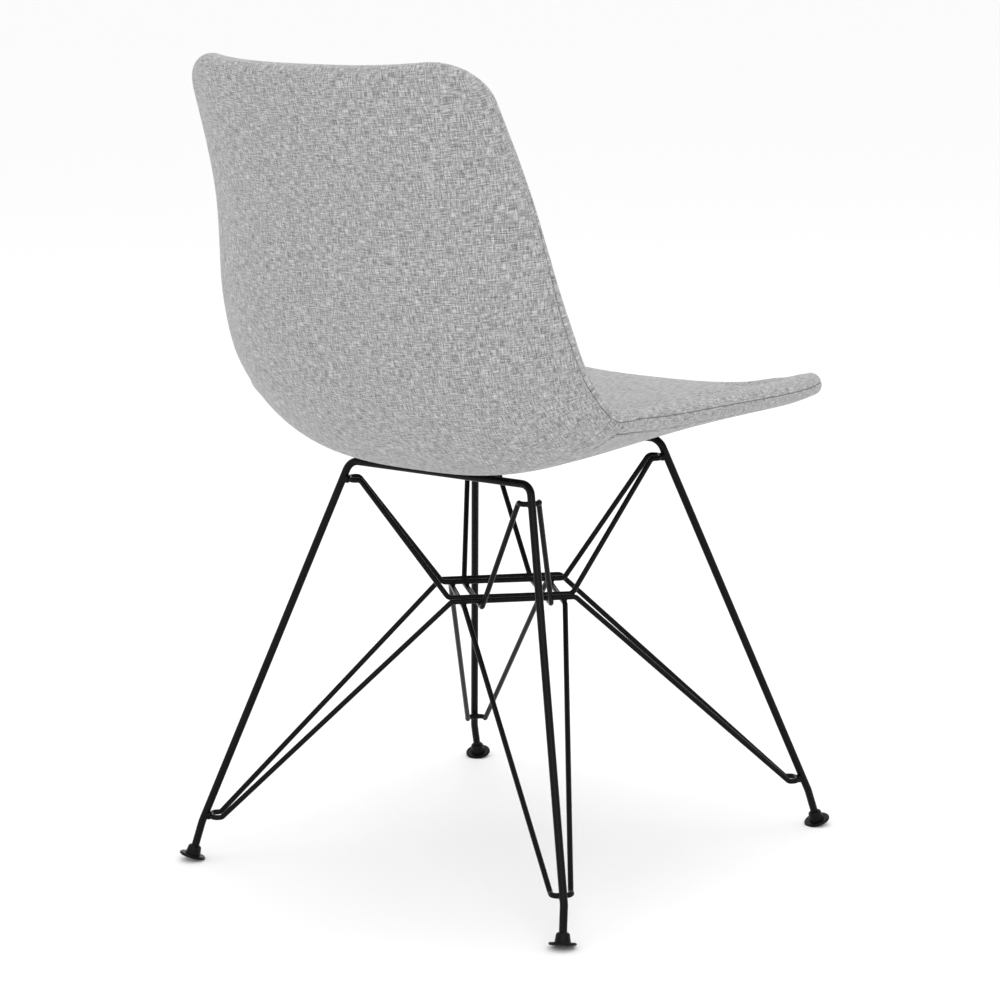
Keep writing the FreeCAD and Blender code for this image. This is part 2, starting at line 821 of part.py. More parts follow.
inner_seam = seam_points(size("border_width"))
outer_seam = seam_points(size("border_width") - joint_gap)
front_y = inner_seam[-1].y
rear_y = inner_seam[0].y
under_zone = seam_prism("UnderZone", [Vector(0, front_y, 0), Vector(0, rear_y, 0)], inner_seam)
mirror_zone = doc.addObject("Part::Mirroring", "UnderZoneMirror")
mirror_zone.Source = under_zone
mirror_zone.Normal = Vector(1, 0, 0)
under_zones = doc.addObject("Part::MultiFuse", "UnderZones")
under_zones.Shapes = [under_zone, mirror_zone]
under_blank = common("UnderCoverBlank", seat_cover, under_zones)
outside = [Vector(300, front_y, 0), Vector(300, rear_y, 0)]
right_zone = seam_prism("BorderZone", outside, outer_seam)
right_border = keep(common("RightBorder", seat_cover, right_zone), "right_side_border")
left_border = doc.addObject("Part::Mirroring", "LeftBorder")
left_border.Source = right_border
left_border.Normal = Vector(1, 0, 0)
keep(left_border, "left_side_border")


# ---------------------------------------------------------------- fasteners
def hole_tools(name, radius, reach_down, reach_up):
    """Upright cylinders on the four screw axes, from below to above the tabs."""
    tools = []
    for (end, side), place in screw_places.items():
        tool_name = f"{name}{end.capitalize()}{'Left' if side < 0 else 'Right'}"
        base = place - Vector(0, 0, reach_down)
        tools.append(cylinder(tool_name, radius, f"{reach_down + reach_up} mm", base))
    return compound(name, tools)


cover_holes = hole_tools("CoverHoles", "Sizes.pad_hole_d / 2", 20.0, 60.0)
keep(cut("UnderCover", under_blank, cover_holes), "under_cover")
keep(cut("OuterLinerFoam", liner, cover_holes), "outer_liner_foam")

flange_drop = 0.9
flange_bases = {}
for place_key, place in screw_places.items():
    top = surface_height(place.x, place.y - centre_shift, ply_inner)
    flange_base = Vector(place.x, place.y, top - flange_drop - size("tnut_flange_thickness"))
    flange_bases[place_key] = flange_base


def stack(name, radius, height, bases):
    """Equal upright cylinders, one on each screw axis."""
    items = [cylinder(f"{name}{index}", radius, height, base) for index, base in enumerate(bases, start=1)]
    return compound(name, items)


def fused(name, *parts):
    item = doc.addObject("Part::MultiFuse", name)
    item.Shapes = list(parts)
    return item


drop = Vector(0, 0, -1)
flanges = list(flange_bases.values())
ply_bores = stack("PlyBores", "Sizes.tnut_barrel_d / 2 + Sizes.tnut_clearance", "40 mm",
                  [base + drop * 20 for base in flanges])
ply_sinks = stack("PlySinks", "Sizes.tnut_flange_d / 2 + Sizes.tnut_clearance", "12 mm", flanges)
keep(cut("PlywoodShell", ply_blank, fused("PlyHoles", ply_bores, ply_sinks)), "plywood_shell")

barrel = size("tnut_barrel_length")
tnut_flanges = stack("TnutFlanges", "Sizes.tnut_flange_d / 2", "Sizes.tnut_flange_thickness", flanges)
tnut_barrels = stack("TnutBarrels", "Sizes.tnut_barrel_d / 2", "Sizes.tnut_barrel_length",
                     [base + drop * barrel for base in flanges])
tnut_bores = stack("TnutBores", "Sizes.tnut_bore_d / 2", "Sizes.tnut_barrel_length + 4",
                   [base + drop * (barrel + 1) for base in flanges])
keep(cut("Tnuts", fused("TnutBlanks", tnut_flanges, tnut_barrels), tnut_bores), "tee_nuts")

washer_bases = [place + drop * size("washer_thickness") for place in screw_places.values()]
washer_blanks = stack("WasherBlanks", "Sizes.washer_d / 2", "Sizes.washer_thickness", washer_bases)
washer_holes = stack("WasherHoles", "Sizes.washer_hole_d / 2", "Sizes.washer_thickness + 2",
                     [base + drop for base in washer_bases])
keep(cut("Washers", washer_blanks, washer_holes), "screw_washers")

head_bases = [base + drop * size("screw_head_height") for base in washer_bases]
screw_heads = stack("ScrewHeads", "Sizes.screw_head_d / 2", "Sizes.screw_head_height", head_bases)
shanks = []
for index, (head, flange) in enumerate(zip(washer_bases, flanges), start=1):
    length = flange.z + 0.6 - head.z
    shanks.append(cylinder(f"ScrewShank{index}", "Sizes.screw_shank_d / 2", f"{length} mm", head))
sockets = []
for index, base in enumerate(head_bases, start=1):
    socket = doc.addObject("Part::Prism", f"ScrewSocket{index}")
    socket.Polygon = 6
    bind(socket, Circumradius="Sizes.screw_socket_across / sqrt(3)", Height="Sizes.screw_socket_depth + 1")
    socket.Placement = Placement(base + drop, Rotation())
    sockets.append(socket)
screw_blanks = fused("ScrewBlanks", screw_heads, compound("ScrewShanks", shanks))
keep(cut("Screws", screw_blanks, compound("ScrewSockets", sockets)), "shell_screws")

shell_block = layer(full_patch(0.0, lambda distance: 5.0), shell_sheet(-1, 0.0))
above_pads = shell_feature("AbovePads", shell_block)
for end in ("rear", "front"):
    bases = [screw_places[end, side] + Vector(0, 0, size("tab_thickness")) for side in (-1, 1)]
    rings = stack(f"{end.capitalize()}PadBlanks", "Sizes.pad_d / 2", "16 mm", bases)
    starts = [base + drop for base in bases]
    bores = stack(f"{end.capitalize()}PadBores", "Sizes.pad_hole_d / 2", "20 mm", starts)
    trimmed = cut(f"{end.capitalize()}PadRings", rings, bores)
    keep(cut(f"{end.capitalize()}Pads", trimmed, above_pads), f"{end}_spacer_pads")


# ---------------------------------------------------------------- glides
def glide_body(name, bore_depth):
    """Push-on glide: a disc with a rounded rim, a tapered collar and a blind bore."""
    body = doc.addObject("PartDesign::Body", name)
    sketch = new_sketch(body, name + "Profile", "XZ_Plane")
    disc = size("glide_disc_d") / 2
    thick = size("glide_disc_thickness")
    height = size("glide_height")
    shoulder = size("glide_shoulder")
    collar_top = size("glide_collar_top_d") / 2
    top_radius = "Sizes.glide_collar_top_d / 2"
    bore = leg_radius + size("weld_gap")
    rim = 1.0
    corners = [
        ((0.0, ""), (0.0, "")),
        ((disc - rim, "Sizes.glide_disc_d / 2 - 1"), (0.0, "")),
        ((disc, "Sizes.glide_disc_d / 2"), (rim, "1 mm")),
        ((disc, "Sizes.glide_disc_d / 2"), (thick - rim, "Sizes.glide_disc_thickness - 1")),
        ((disc - rim, "Sizes.glide_disc_d / 2 - 1"), (thick, "Sizes.glide_disc_thickness")),
        ((size("glide_collar_d") / 2, "Sizes.glide_collar_d / 2"), (thick, "Sizes.glide_disc_thickness")),
        ((collar_top, top_radius), (height - shoulder, "Sizes.glide_height - Sizes.glide_shoulder")),
        ((collar_top - shoulder, f"{top_radius} - Sizes.glide_shoulder"), (height, "Sizes.glide_height")),
        ((bore, "Sizes.leg_rod_d / 2 + Sizes.weld_gap"), (height, "Sizes.glide_height")),
        ((bore, "Sizes.leg_rod_d / 2 + Sizes.weld_gap"), (bore_depth, f"{bore_depth} mm")),
        ((0.0, ""), (bore_depth, f"{bore_depth} mm")),
    ]
    points = [Vector(x, z, 0) for (x, _), (z, _) in corners]
    count = len(points)
    for index, point in enumerate(points):
        sketch.addGeometry(Part.LineSegment(point, points[(index + 1) % count]), False)
    for index in range(count):
        sketch.addConstraint(Sketcher.Constraint("Coincident", index, 2, (index + 1) % count, 1))
    for index, pair in enumerate(corners):
        for kind, axis, (value, expression) in (("DistanceX", -2, pair[0]), ("DistanceY", -1, pair[1])):
            if not expression:
                sketch.addConstraint(Sketcher.Constraint("PointOnObject", index, 1, axis))
                continue
            rule = sketch.addConstraint(Sketcher.Constraint(kind, -1, 1, index, 1, value))
            sketch.setExpression(f"Constraints[{rule}]", expression)
    turned = body.newObject("PartDesign::Revolution", name + "Turned")
    turned.Profile = sketch
    turned.ReferenceAxis = (sketch, ["V_Axis"])
    turned.Angle = 360
    return body


for end in ("rear", "front"):
    for side, hand in ((-1, "left"), (1, "right")):
        name = f"{end.capitalize()}{hand.capitalize()}Glide"
        axis = leg_axis(end, side)
        tilt = axis.getAngle(Vector(0, 0, 1))
        sole_height = size("glide_disc_d") / 2 * math.sin(tilt) - size("glide_flat_depth")
        sole = legs[end, side][2] + axis * (sole_height / axis.z)
        blank = glide_body(name + "Blank", (leg_end(end, side) - sole).Length)
        blank.Placement = Placement(sole, Rotation(Vector(0, 0, 1), axis))
        floor_box = doc.addObject("Part::Box", name + "Floor")
        floor_box.Length = 60
        floor_box.Width = 60
        floor_box.Height = 20
        floor_box.Placement = Placement(Vector(sole.x - 30, sole.y - 30, -20), Rotation())
        keep(cut(name, blank, floor_box), f"{end}_{hand}_glide")

# ---------------------------------------------------------------- checks and export
doc.recompute()
for item in doc.Objects:
    bad = {"Invalid", "Error"} & set(item.State)
    if bad:
        raise RuntimeError(f"{item.Name} is {sorted(bad)}")
for item in doc.Objects:
    shape = getattr(item, "Shape", None)
    if shape is not None and (shape.isNull() or not shape.isValid()):
        raise RuntimeError(f"{item.Name} has a broken shape")
os.makedirs("parts", exist_ok=True)
for label, node in nodes.items():
    node.Shape.exportStep(f"parts/{label}.step")
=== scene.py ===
import json
import math

import bpy
import numpy as np
from mathutils import Matrix, Vector


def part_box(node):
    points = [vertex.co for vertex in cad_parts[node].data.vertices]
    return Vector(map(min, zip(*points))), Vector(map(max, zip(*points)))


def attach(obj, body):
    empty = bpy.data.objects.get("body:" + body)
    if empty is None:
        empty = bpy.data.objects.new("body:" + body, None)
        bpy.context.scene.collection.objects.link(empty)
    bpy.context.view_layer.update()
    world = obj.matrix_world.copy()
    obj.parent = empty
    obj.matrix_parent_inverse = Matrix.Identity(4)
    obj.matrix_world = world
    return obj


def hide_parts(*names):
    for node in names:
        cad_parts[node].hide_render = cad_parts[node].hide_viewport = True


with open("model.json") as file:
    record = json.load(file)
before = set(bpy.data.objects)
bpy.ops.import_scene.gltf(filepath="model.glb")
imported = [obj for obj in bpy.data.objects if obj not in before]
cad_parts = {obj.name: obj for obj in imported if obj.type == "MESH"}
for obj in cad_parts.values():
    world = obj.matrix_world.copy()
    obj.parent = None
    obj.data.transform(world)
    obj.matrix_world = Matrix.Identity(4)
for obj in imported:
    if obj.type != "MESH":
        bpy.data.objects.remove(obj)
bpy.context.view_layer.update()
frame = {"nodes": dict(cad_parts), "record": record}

# ---------------------------------------------------------------- shell surface
# Rows of the shell's centre line, from the top of the back to the front of the seat:
# y and z, the half width, and how far the edges curve in. Millimetres from the base centre.
STATIONS = np.array([
    (300.0, 838.0, 176.0, 40.0),
    (262.0, 700.0, 192.0, 60.0),
    (237.0, 578.0, 212.0, 66.0),
    (206.0, 500.0, 220.0, 68.0),
    (150.0, 442.0, 227.0, 68.0),
    (88.0, 436.0, 232.0, 62.0),
    (-60.0, 448.0, 240.0, 42.0),
    (-190.0, 452.0, 240.0, 32.0),
    (-285.0, 450.0, 222.0, 32.0),
])
NOSE_Y = STATIONS[-1, 0]
LIFT_POWER = 2.8
TOP_CORNER = 46.0
NOSE_CORNER = 50.0
HALF_THICKNESS = 11.75
# Where the seam runs round the rolled rim, in degrees towards the outer face, at places
# along the shell: in front of the rim along the top, then well back down the sides.
SEAM_PLACES = (0.0, 40.0, 150.0, 260.0, 420.0, 500.0, 800.0, 880.0)
SEAM_ANGLES = (-30.0, -20.0, 30.0, 60.0, 48.0, 22.0, 14.0, -8.0)
BORDER_INSET = 16.0
JOINT = 468.0
WIDEST_INSET = 30.0
# Width of the band at the corners where the cloth turns from the sides to the ends.
CORNER_BLEND = 12.0
# Share of the curved-in edges' extra length that the cloth coordinates take up.
CURVE_SHARE = 0.25
MM = 0.001

steps = np.hypot(np.diff(STATIONS[:, 0]), np.diff(STATIONS[:, 1]))
PLACES = np.concatenate([[0.0], np.cumsum(steps)])
LENGTH = PLACES[-1]
# The frame's origin is under the middle of the whole chair, not of its base.
SHIFT_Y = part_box("inner_cover")[0].y / MM - NOSE_Y


def stations_at(along):
    """Smooth y, z, half width and lift at distances along the centre line."""
    along = np.clip(along, 0.0, LENGTH)
    last = len(PLACES) - 1
    start = np.clip(np.searchsorted(PLACES, along, side="right") - 1, 0, last - 1)
    before = np.maximum(np.arange(last + 1) - 1, 0)
    after = np.minimum(np.arange(last + 1) + 1, last)
    slopes = (STATIONS[after] - STATIONS[before]) / (PLACES[after] - PLACES[before])[:, None]
    span = PLACES[start + 1] - PLACES[start]
    t = ((along - PLACES[start]) / span)[..., None]
    span = span[..., None]
    value = (1 + 2 * t) * (1 - t) ** 2 * STATIONS[start] + t ** 2 * (3 - 2 * t) * STATIONS[start + 1]
    value += t * (1 - t) ** 2 * span * slopes[start] + t ** 2 * (t - 1) * span * slopes[start + 1]
    return value


def middle_points(along, across):
    """Points of the shell's middle surface, in millimetres."""
    values = stations_at(along)
    ends = stations_at(along + 4.0) - stations_at(along - 4.0)
    tangent = ends[..., :2] / np.linalg.norm(ends[..., :2], axis=-1, keepdims=True)
    rise = values[..., 3] * np.abs(across / values[..., 2]) ** LIFT_POWER
    y = values[..., 0] + tangent[..., 1] * rise
    z = values[..., 1] - tangent[..., 0] * rise
    return np.stack([across, y, z], axis=-1)


def middle_normals(along, across):
    """Unit normals of the middle surface, towards the sitter."""
    down = middle_points(np.minimum(along + 3.0, LENGTH), across)
    down = down - middle_points(np.maximum(along - 3.0, 0.0), across)
    side = middle_points(along, across + 3.0) - middle_points(along, across - 3.0)
    normal = np.cross(down, side)
    return normal / np.linalg.norm(normal, axis=-1, keepdims=True)


def half_at(along):
    return stations_at(along)[..., 2]


def stretch_at(along):
    """How much longer the surface is than its width across, at the side edge."""
    values = stations_at(along)
    return np.hypot(1.0, values[..., 3] * LIFT_POWER / values[..., 2])


# ---------------------------------------------------------------- outline
def graded(start, end, spacing, fine_at=()):
    """Evenly spaced numbers, with a few close ones on both sides of given places."""
    count = max(int(round((end - start) / spacing)), 2)
    values = list(np.linspace(start, end, count + 1))
    for place in fine_at:
        values = [value for value in values if abs(value - place) > 4.0]
        values += [place + step for step in (-3.2, -1.8, -0.9, -0.35, 0.0)]
        values += [place + JOINT_GAP + step for step in (0.0, 0.35, 0.9, 1.8, 3.2)]
    return np.array(sorted(values))


JOINT_GAP = 0.5
CORNER_TURNS = np.radians([45.0, 52.5, 60.0, 67.5, 75.0, 82.5])
SIDE_PLACES = graded(TOP_CORNER, LENGTH - NOSE_CORNER, 6.5, fine_at=[JOINT])
END_SHARES = np.linspace(-1.0, 1.0, 61)


def end_curve(at_top, inset):
    """Plan of the top or nose edge, from the middle of one corner to the other."""
    radius = TOP_CORNER if at_top else NOSE_CORNER
    turns = (math.pi / 2 - CORNER_TURNS)[:-1]
    turns = np.concatenate([[math.pi / 4], turns[1:], [math.radians(3.75)]])
    in_corner = radius - (radius - inset) * np.cos(turns)
    corner_along = in_corner if at_top else LENGTH - in_corner
    reach = radius - inset / stretch_at(corner_along)
    corner_across = half_at(corner_along) - radius + reach * np.sin(turns)
    edge_along = inset if at_top else LENGTH - inset
    straight = (half_at(np.array(edge_along)) - radius) * END_SHARES
    along = np.concatenate([corner_along, np.full(len(straight), edge_along), corner_along[::-1]])
    across = np.concatenate([-corner_across, straight, corner_across[::-1]])
    return along, across


def side_curve(side, inset):
    """Plan of one side edge, from the middle of the top corner to that of the nose corner."""
    top_along = TOP_CORNER - (TOP_CORNER - inset) * np.cos(CORNER_TURNS)
    reach = TOP_CORNER - inset / stretch_at(top_along)
    top_across = half_at(top_along) - TOP_CORNER + reach * np.sin(CORNER_TURNS)
    nose_along = LENGTH - NOSE_CORNER + (NOSE_CORNER - inset) * np.cos(CORNER_TURNS)
    reach = NOSE_CORNER - inset / stretch_at(nose_along)
    nose_across = half_at(nose_along) - NOSE_CORNER + reach * np.sin(CORNER_TURNS)
    straight = half_at(SIDE_PLACES) - inset / stretch_at(SIDE_PLACES)
    along = np.concatenate([top_along, SIDE_PLACES, nose_along[::-1]])
    across = np.concatenate([top_across, straight, nose_across[::-1]])
    return along, side * across


def ring(inset):
    """Closed outline at an inset: top edge, right side, nose edge, left side."""
    top, nose = end_curve(True, inset), end_curve(False, inset)
    right, left = side_curve(1, inset), side_curve(-1, inset)
    return tuple(
        np.concatenate([top[k][:-1], right[k][:-1], nose[k][::-1][:-1], left[k][::-1][:-1]])
        for k in (0, 1)
    )


COLUMNS = len(end_curve(True, 0.0)[0])
ROWS = len(side_curve(1, 0.0)[0])
AROUND = 2 * (COLUMNS - 1) + 2 * (ROWS - 1)


def filling(inset):
    """Grid that fills the outline at an inset, edges included."""
    top, nose = np.array(end_curve(True, inset)), np.array(end_curve(False, inset))
    left, right = np.array(side_curve(-1, inset)), np.array(side_curve(1, inset))
    u = (top[1] - top[1][0]) / (top[1][-1] - top[1][0])
    v = (left[0] - left[0][0]) / (left[0][-1] - left[0][0])
    u, v = u[None, :], v[:, None]
    grid = []
    for k in (0, 1):
        ends = (1 - v) * top[k][None, :] + v * nose[k][None, :]
        sides = (1 - u) * left[k][:, None] + u * right[k][:, None]
        corners = (1 - u) * (1 - v) * top[k][0] + u * (1 - v) * top[k][-1]
        corners = corners + (1 - u) * v * nose[k][0] + u * v * nose[k][-1]
        grid.append(ends + sides - corners)
    return grid


def boundary_index():
    """For each place around the outline, its row and column in the filling grid."""
    last_row, last_column = ROWS - 1, COLUMNS - 1
    cells = [(0, column) for column in range(last_column)]
    cells += [(row, last_column) for row in range(last_row)]
    cells += [(last_row, column) for column in range(last_column, 0, -1)]
    cells += [(row, 0) for row in range(last_row, 0, -1)]
    return cells


# ---------------------------------------------------------------- panels
def tuck(distance, radius=1.6):
    """How far a panel's surface falls near its sewn edge."""
    inward = np.clip(distance / radius, 0.0, 1.0)
    return radius * (1 - np.sqrt(np.maximum(1 - (1 - inward) ** 2, 0.0)))


def ripple(along, across, scale, seed):
    """Gentle repeatable unevenness between about -1 and 1."""
    total = np.zeros_like(along)
    for index in range(5):
        angle = seed * 1.7 + index * 2.399
        wave = (along * math.cos(angle) + across * math.sin(angle)) / scale
        total = total + np.sin(wave * (1 + 0.37 * index) + seed + index * 1.3)
    return total / 5


class Sheet:
    """Rings of points around the outline, closed by a grid, as one mesh."""

    def __init__(self):
        self.along = []
        self.across = []
        self.height = []
        self.faces = []
        self.last_ring = None
        self.count = 0

    def add(self, along, across, height):
        self.along.append(np.ravel(along))
        self.across.append(np.ravel(across))
        self.height.append(np.ravel(height))
        first = self.count
        self.count += np.size(along)
        return first

    def link(self, along, across, height):
        """Adds a ring of points, joined to the one before it."""
        first = self.add(along, across, height)
        if self.last_ring is not None:
            for index in range(AROUND):
                follow = (index + 1) % AROUND
                low = self.last_ring
                self.faces.append((low + index, low + follow, first + follow, first + index))
        self.last_ring = first

    def ring(self, inset, height, lift=None):
        """Adds a ring at one inset all round."""
        along, across = ring(inset)
        rise = np.full(AROUND, float(height)) if lift is None else height + lift(along)
        self.link(along, across, rise)

    def fill(self, inset, height):
        """Closes the last ring with a grid; height is a function of place and depth."""
        along, across = filling(inset)
        side = (half_at(along) - np.abs(across)) * stretch_at(along)
        depth = np.minimum(np.minimum(along, LENGTH - along), side)
        first = self.add(along, across, height(along, across, depth))
        index = np.arange(ROWS * COLUMNS).reshape(ROWS, COLUMNS) + first
        for place, (row, column) in enumerate(boundary_index()):
            index[row, column] = self.last_ring + place
        for row in range(ROWS - 1):
            for column in range(COLUMNS - 1):
                self.faces.append((
                    index[row, column], index[row, column + 1],
                    index[row + 1, column + 1], index[row + 1, column],
                ))

    def arrays(self):
        return tuple(np.concatenate(item) for item in (self.along, self.across, self.height))


def cloth_place(along, across, height):
    """Coordinates in the cloth, which goes on round the rolled rim instead of being squashed."""
    middle_height = HALF_THICKNESS * np.sign(np.median(height))
    round_rim = np.abs(height - middle_height)
    side = half_at(along) - np.abs(across)
    end = np.minimum(along, LENGTH - along)
    share = np.clip((end - side) / CORNER_BLEND + 0.5, 0.0, 1.0)
    out_along = np.where(along < LENGTH / 2, -1.0, 1.0)
    wide = across * (1.0 + CURVE_SHARE * (stretch_at(along) - 1.0))
    return wide + np.sign(across) * round_rim * share, along + out_along * round_rim * (1.0 - share)


def mesh_object(name, sheet, keep=None, flip=False, cloth=None, thickness=1.2):
    """Mesh of a sheet's faces, only those whose place along the shell is kept."""
    along, across, height = sheet.arrays()
    points = middle_points(along, across) + middle_normals(along, across) * height[:, None]
    points[:, 1] += SHIFT_Y
    faces = sheet.faces
    if keep is not None:
        faces = [face for face in faces if keep(float(np.mean(along[list(face)])))]
    used = sorted({index for face in faces for index in face})
    renumber = {old: new for new, old in enumerate(used)}
    faces = [tuple(renumber[index] for index in face) for face in faces]
    if flip:
        faces = [face[::-1] for face in faces]
    mesh = bpy.data.meshes.new(name)
    mesh.from_pydata((points[used] * MM).tolist(), [], faces)
    layer = mesh.uv_layers.new(name="Cloth")
    corner_points = np.array([loop.vertex_index for loop in mesh.loops])
    cloth_across, cloth_along = cloth_place(along[used], across[used], height[used])
    flat = np.stack([cloth_across, cloth_along], axis=-1)[corner_points] * MM
    layer.data.foreach_set("uv", flat.ravel().astype(np.float32))
    mesh.polygons.foreach_set("use_smooth", [True] * len(mesh.polygons))
    mesh.update()
    piece = bpy.data.objects.new(name, mesh)
    bpy.context.scene.collection.objects.link(piece)
    if cloth is not None:
        cloth(piece, along[used], across[used])
    if thickness:
        thicken(piece, thickness * MM)
    return piece


def apply_modifiers(piece):
    graph = bpy.context.evaluated_depsgraph_get()
    result = bpy.data.meshes.new_from_object(piece.evaluated_get(graph))
    piece.modifiers.clear()
    piece.data = result


def thicken(piece, thickness):
    """Gives a panel the thickness of its cloth, inwards, with closed edges."""
    solid = piece.modifiers.new("Thickness", "SOLIDIFY")
    solid.thickness = thickness
    solid.offset = -1.0
    solid.use_even_offset = False
    apply_modifiers(piece)


def swell(piece, along, across):
    """Cloth simulation of the padded face: it fills out between its pinned edges."""
    depth = np.minimum(np.minimum(along, LENGTH - along), (half_at(along) - np.abs(across)))
    pinned = piece.vertex_groups.new(name="Pinned")
    weights = np.clip(1 - (depth - 12.0) / 10.0, 0.0, 1.0)
    for index, weight in enumerate(weights):
        if weight > 0:
            pinned.add([index], float(weight), "REPLACE")
    start = np.array([vertex.co for vertex in piece.data.vertices])
    cloth = piece.modifiers.new("Cloth", "CLOTH")
    settings = cloth.settings
    settings.quality = 5
    settings.mass = 0.25
    settings.tension_stiffness = 30
    settings.compression_stiffness = 30
    settings.shear_stiffness = 12
    settings.bending_stiffness = 4
    settings.use_pressure = True
    settings.uniform_pressure_force = 1.5
    settings.vertex_group_mass = "Pinned"
    settings.effector_weights.gravity = 0
    settings.shrink_min = -0.012
    cloth.collision_settings.use_collision = False
    scene = bpy.context.scene
    for number in range(1, 21):
        scene.frame_set(number)
    graph = bpy.context.evaluated_depsgraph_get()
    moved = piece.evaluated_get(graph).to_mesh()
    end = np.array([vertex.co for vertex in moved.vertices])
    piece.modifiers.clear()
    scene.frame_set(1)
    change = end - start
    size = np.linalg.norm(change, axis=1, keepdims=True)
    limit = 4.0 * MM
    change *= limit * np.tanh(size / limit) / np.maximum(size, 1e-9)
    piece.data.vertices.foreach_set("co", (start + change).ravel().astype(np.float32))
    piece.data.update()


def ring_at(insets):
    """Outline whose inset differs from place to place."""
    low, high = ring(0.0), ring(WIDEST_INSET)
    share = insets / WIDEST_INSET
    return low[0] + (high[0] - low[0]) * share, low[1] + (high[1] - low[1]) * share


def rim_ring(sheet, degrees, fall=0.0, lift=None):
    """Ring round the rolled rim; 0 degrees is the outermost line, 90 the outer face."""
    turn = np.radians(degrees)
    reach = HALF_THICKNESS - fall
    along, across = ring_at(HALF_THICKNESS - reach * np.cos(turn))
    height = -reach * np.sin(turn)
    if lift is not None:
        height = height + lift(along)
    sheet.link(along, across, height)


def seam_angles():
    """The seam's angle at each place round the outline."""
    return np.interp(ring(0.0)[0], SEAM_PLACES, SEAM_ANGLES)


def seam_fall(degrees):
    """How far the cloth falls into the seam, this many degrees away from it."""
    return float(tuck(np.array(math.radians(degrees) * HALF_THICKNESS)))


def inner_panel():
    """Cloth of the sitter's side, wrapped round the rim to the seam."""
    sheet = Sheet()
    seam = seam_angles()
    for depth in (4.2, 2.8):
        rim_ring(sheet, seam, depth)
    for step in (0.0, 1.5, 3.5, 6.5, 10.0):
        rim_ring(sheet, seam - step, seam_fall(step))
    for share in np.linspace(0.0, 1.0, 13)[1:]:
        rim_ring(sheet, (seam - 10.0) * (1.0 - share) - 90.0 * share)
    for inset in (15.0, 19.0):
        sheet.ring(inset, HALF_THICKNESS)

    def height(along, across, depth):
        return HALF_THICKNESS + 0.35 * ripple(along, across, 38.0, 2.0) * np.clip((depth - 22) / 30, 0, 1)

    sheet.ring(23.0, HALF_THICKNESS)
    sheet.fill(23.0, height)
    return sheet


def joint_tuck(along):
    """Fall of the outer panels beside the joint between back and seat."""
    distance = np.where(along < JOINT + JOINT_GAP / 2, JOINT - along, along - JOINT - JOINT_GAP)
    return tuck(np.maximum(distance, 0.0))


def outer_rings(sheet, last_inset):
    """Rings of the outer side, from the tucked seam allowance to an inset."""
    seam = seam_angles() + 1.2
    for depth in (4.2, 2.8):
        rim_ring(sheet, seam, depth)
    for step in (0.0, 1.5, 3.5, 6.5, 10.0):
        rim_ring(sheet, seam + step, seam_fall(step), joint_tuck)
    for share in np.linspace(0.0, 1.0, 9)[1:]:
        rim_ring(sheet, (seam + 10.0) * (1.0 - share) + 90.0 * share, 0.0, joint_tuck)
    for inset in (13.2, 14.4):
        if inset < last_inset:
            sheet.ring(inset, -HALF_THICKNESS, joint_tuck)


def outer_height(along, across, depth):
    wave = 0.3 * ripple(along, across, 45.0, 5.0) * np.clip((depth - 16) / 30, 0, 1)
    return -HALF_THICKNESS + joint_tuck(along) + wave


def back_panel():
    sheet = Sheet()
    outer_rings(sheet, BORDER_INSET)
    sheet.ring(BORDER_INSET, -HALF_THICKNESS, joint_tuck)
    sheet.fill(BORDER_INSET, outer_height)
    return sheet


def border_panel():
    """Narrow band between the seam and the fold over the underside."""
    sheet = Sheet()
    outer_rings(sheet, BORDER_INSET)
    for step in (1.6, 0.8, 0.3, 0.0):
        fall = float(tuck(np.array(step)))
        sheet.ring(BORDER_INSET - step, -HALF_THICKNESS + fall, joint_tuck)
    sheet.ring(BORDER_INSET, -HALF_THICKNESS + 3.2)
    return sheet


def fold_gap(along):
    """Width of the dark fold beside the border: wide at the back, uneven at the nose."""
    rear = 2.6 * np.exp(-((along - JOINT - 14.0) / 16.0) ** 2)
    nose = 1.5 * np.clip((along - 760.0) / 60.0, 0, 1) * (0.6 + 0.4 * np.sin(along / 5.5))
    return 0.6 + rear + nose


def under_panel():
    sheet = Sheet()
    along = ring(BORDER_INSET)[0]
    for step in (0.0, 0.0, 0.3, 0.8, 1.6, 3.4, 5.2, 7.5):
        gap = fold_gap(along)
        place = ring_at(BORDER_INSET + gap + step)
        first_ring = sheet.last_ring is None
        fold = 0.9 * math.exp(-((step - 4.2) / 1.8) ** 2)
        height = -HALF_THICKNESS + float(tuck(np.array(step))) - fold + (1.8 if first_ring else 0.0)
        sheet.link(*place, height + joint_tuck(place[0]))
    sheet.link(*ring(28.0), -HALF_THICKNESS + joint_tuck(ring(28.0)[0]))
    sheet.fill(28.0, outer_height)
    return sheet


def shade_core():
    """Closed core under the covers, coloured near black as painted shade for the folds, the only place it
    is seen.
    """
    sheets = []
    for side in (1, -1):
        sheet = Sheet()
        radius = HALF_THICKNESS - 3.4
        for angle in np.radians(np.linspace(0.0, 90.0, 7)):
            sheet.ring(HALF_THICKNESS - radius * math.cos(angle), side * radius * math.sin(angle))
        sheet.fill(HALF_THICKNESS, lambda along, across, depth: along * 0 + side * radius)
        sheets.append(sheet)
    return sheets


# ---------------------------------------------------------------- materials
def new_material(name):
    material = bpy.data.materials.new(name)
    material.use_nodes = True
    tree = material.node_tree
    shader = tree.nodes["Principled BSDF"]
    return material, tree, shader


def math_node(tree, operation, first, second, clamp=False):
    node = tree.nodes.new("ShaderNodeMath")
    node.operation = operation
    node.use_clamp = clamp
    for socket, value in zip(node.inputs, (first, second)):
        if isinstance(value, (int, float)):
            socket.default_value = value
        else:
            tree.links.new(value, socket)
    return node.outputs[0]


